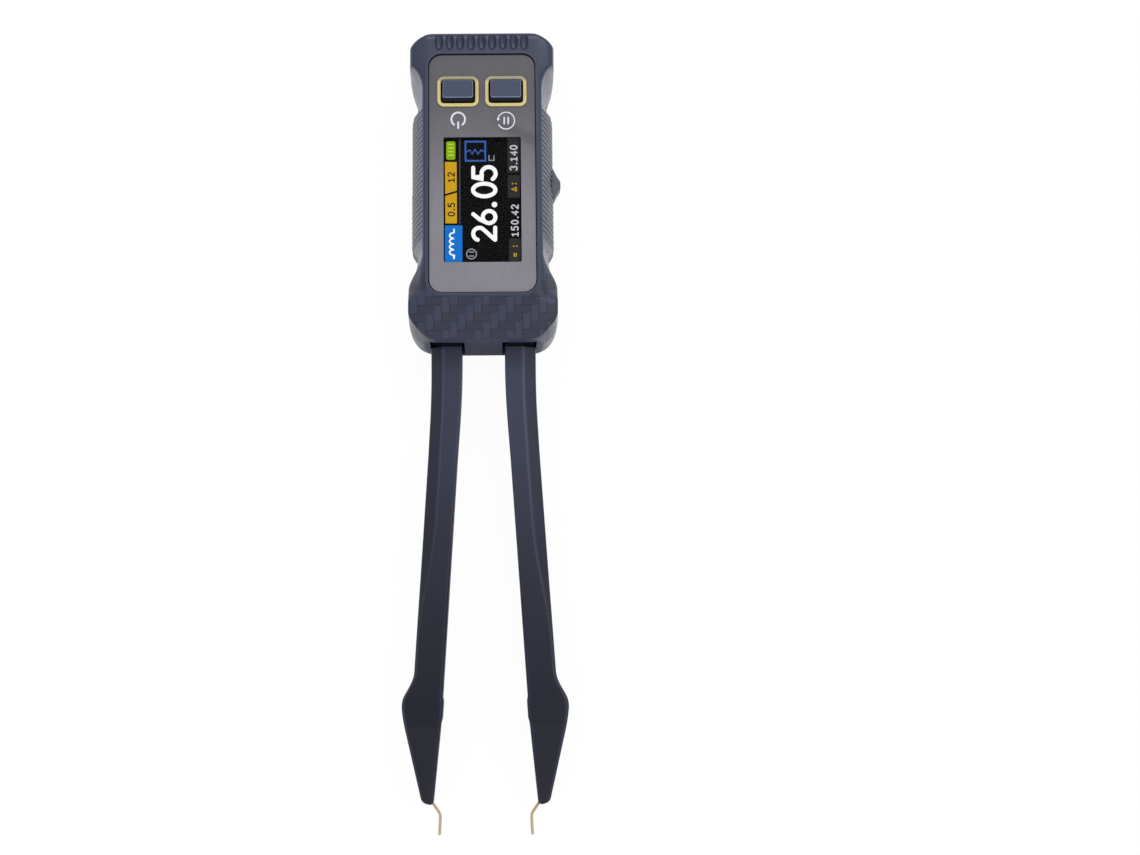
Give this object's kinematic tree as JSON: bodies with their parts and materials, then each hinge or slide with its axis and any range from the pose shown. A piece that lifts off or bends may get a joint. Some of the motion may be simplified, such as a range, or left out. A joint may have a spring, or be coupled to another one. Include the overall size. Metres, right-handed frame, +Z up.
{
  "type": "component tester",
  "caption": "Tweezer-style electronic component tester: a case with a screen, push buttons and a side jog switch, and sprung arms that end in gold contact pins.",
  "frame": {"origin": "middle of the case's flat underside, on the surface the tester lies on", "axes": "+Z up through the screen, +Y towards the head end, the arms point along -Y, +X towards the jog switch"},
  "size_m": [0.032, 0.1567, 0.0179],
  "materials": {
    "shell_plastic": "moulded dark blue grey",
    "brushed_panel": "fine brushed",
    "clear_window": "clear",
    "display_glass": "dark glass",
    "white_plastic": "moulded",
    "polyimide": "amber film",
    "yellow_bezel": "pale yellow",
    "circuit_board": "green solder mask",
    "black_plastic": "moulded",
    "ceramic_parts": "ceramic",
    "steel": "plated",
    "spring_steel": "drawn wire",
    "battery_foil": "foil",
    "foam": "foam",
    "lead_insulation": "silicone",
    "brass": "plain",
    "button_plastic": "satin",
    "red_plastic": "moulded",
    "jog_plastic": "satin",
    "gold": "gold plated"
  },
  "bodies": {
    "root": {"top_shell": "shell_plastic", "bottom_shell": "shell_plastic", "front_panel": "brushed_panel", "screen_window": "clear_window", "lcd_glass": "display_glass", "lcd_backlight": "white_plastic", "lcd_flex": "polyimide", "bezel_power": "yellow_bezel", "bezel_hold": "yellow_bezel", "main_board": "circuit_board", "processor_chip": "black_plastic", "power_chips": "black_plastic", "board_parts": "ceramic_parts", "switch_power": "black_plastic", "switch_hold": "black_plastic", "jog_switch_body": "black_plastic", "usb_socket": "steel", "usb_tongue": "black_plastic", "battery_cell": "battery_foil", "battery_pad": "foam", "battery_leads": "lead_insulation", "battery_plug": "white_plastic", "case_screws": "steel", "board_screws": "steel", "pivot_pin_left": "steel", "pivot_pin_right": "steel", "arm_spring_left": "spring_steel", "arm_spring_right": "spring_steel", "pivot_terminal_left": "brass", "pivot_terminal_right": "brass"},
    "arm_left": {"arm_cover_left": "shell_plastic", "arm_base_left": "shell_plastic", "contact_strip_left": "brass", "tip_socket_left": "brass", "contact_pin_left": "gold", "arm_screws_left": "steel"},
    "arm_right": {"arm_cover_right": "shell_plastic", "arm_base_right": "shell_plastic", "contact_strip_right": "brass", "tip_socket_right": "brass", "contact_pin_right": "gold", "arm_screws_right": "steel"},
    "button_power": {"button_power": "button_plastic", "plunger_power": "red_plastic"},
    "button_hold": {"button_hold": "button_plastic", "plunger_hold": "red_plastic"},
    "jog_slider": {"jog_slider": "white_plastic"},
    "jog_cap": {"jog_cap": "jog_plastic"}
  },
  "joints": [
    {"name": "arm_left_squeeze", "type": "hinge", "parent": "root", "child": "arm_left", "pos_m": [-0.00729, -0.02675, 0], "axis": [0, 0, 1], "range_deg": [0, 4.9], "stiffness_Nm_per_rad": 0.3, "springref_deg": -6.88},
    {"name": "arm_right_squeeze", "type": "hinge", "parent": "root", "child": "arm_right", "pos_m": [0.00729, -0.02675, 0], "axis": [0, 0, -1], "range_deg": [0, 4.9], "stiffness_Nm_per_rad": 0.3, "springref_deg": -6.88},
    {"name": "button_power_press", "type": "slide", "parent": "root", "child": "button_power", "axis": [0, 0, -1], "range_m": [0, 0.00035], "stiffness_N_per_m": 1500, "springref_m": -0.0003},
    {"name": "button_hold_press", "type": "slide", "parent": "root", "child": "button_hold", "axis": [0, 0, -1], "range_m": [0, 0.00035], "stiffness_N_per_m": 1500, "springref_m": -0.0003},
    {"name": "jog_press", "type": "slide", "parent": "root", "child": "jog_slider", "axis": [-1, 0, 0], "range_m": [0, 0.0005], "stiffness_N_per_m": 1200, "springref_m": -0.0003},
    {"name": "jog_rock", "type": "hinge", "parent": "jog_slider", "child": "jog_cap", "pos_m": [0.0127, 0.00155, 0.0084], "axis": [0, 0, 1], "range_deg": [-8, 8], "stiffness_Nm_per_rad": 0.02}
  ]
}
